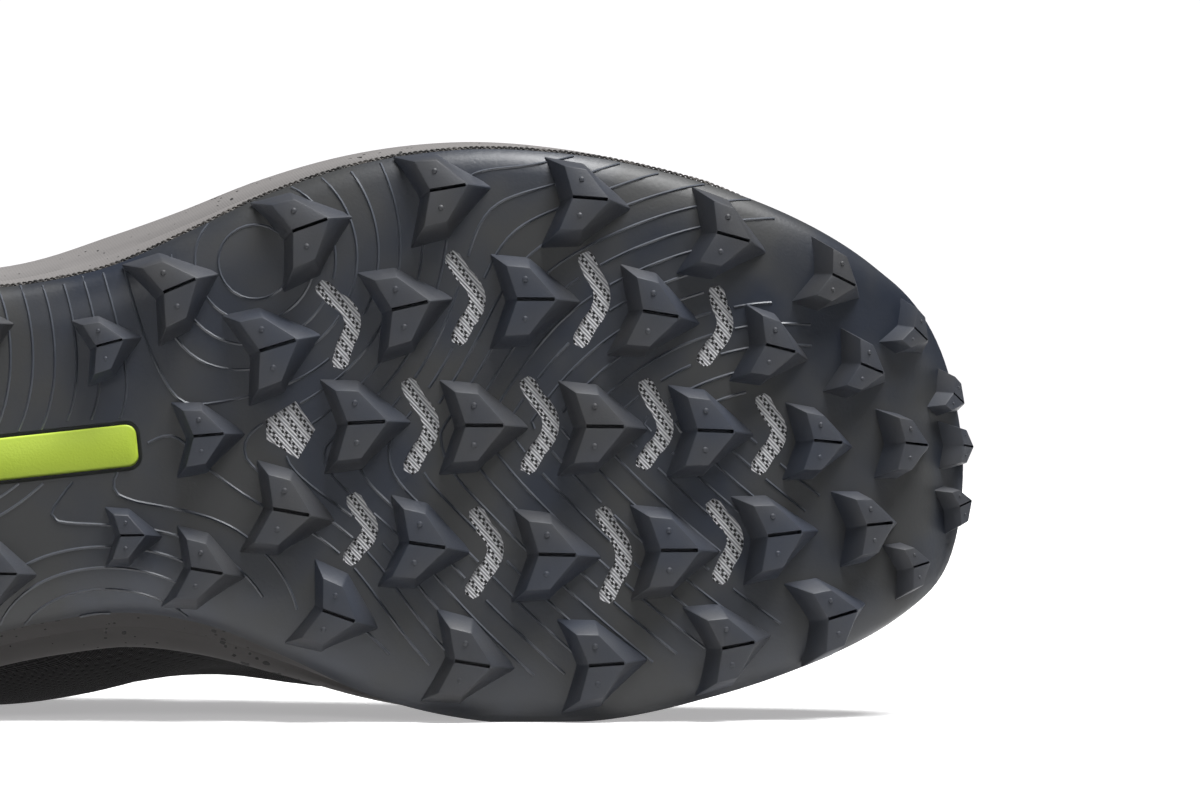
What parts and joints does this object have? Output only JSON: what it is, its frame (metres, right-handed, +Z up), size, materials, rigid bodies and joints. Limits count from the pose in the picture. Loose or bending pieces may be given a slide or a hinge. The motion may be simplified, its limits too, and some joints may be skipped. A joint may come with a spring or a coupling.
{
  "type": "trail running shoe",
  "caption": "Low trail running shoe with deep arrow lugs, a woven plate behind slots in the outsole, a foam cup midsole and a hollow laced upper, lying on its side.",
  "frame": {"origin": "middle of the bounding box, on the floor", "axes": "+X from heel to toe, -Y the way the sole faces, +Z up from the floor; the medial side is down"},
  "size_m": [0.3028, 0.1142, 0.1134],
  "materials": {
    "rubber": "satin moulded rubber",
    "foam": "matt speckled foam",
    "mesh_cloth": "matt knitted mesh",
    "badge": "satin moulded rubber",
    "woven_plate": "woven fibre sheet",
    "liner": "matt cloth over foam",
    "guard_film": "satin film",
    "counter_film": "satin film",
    "stay_film": "satin film",
    "tongue_cloth": "matt padded cloth",
    "lace_cord": "flat woven cord"
  },
  "bodies": {
    "root": {"outsole": "rubber", "midsole": "foam", "upper": "mesh_cloth", "shank_badge": "badge", "forefoot_plate": "woven_plate", "insole": "liner", "toe_guard": "guard_film", "heel_counter": "counter_film", "eyestay": "stay_film", "tongue": "tongue_cloth", "laces": "lace_cord"}
  },
  "joints": []
}
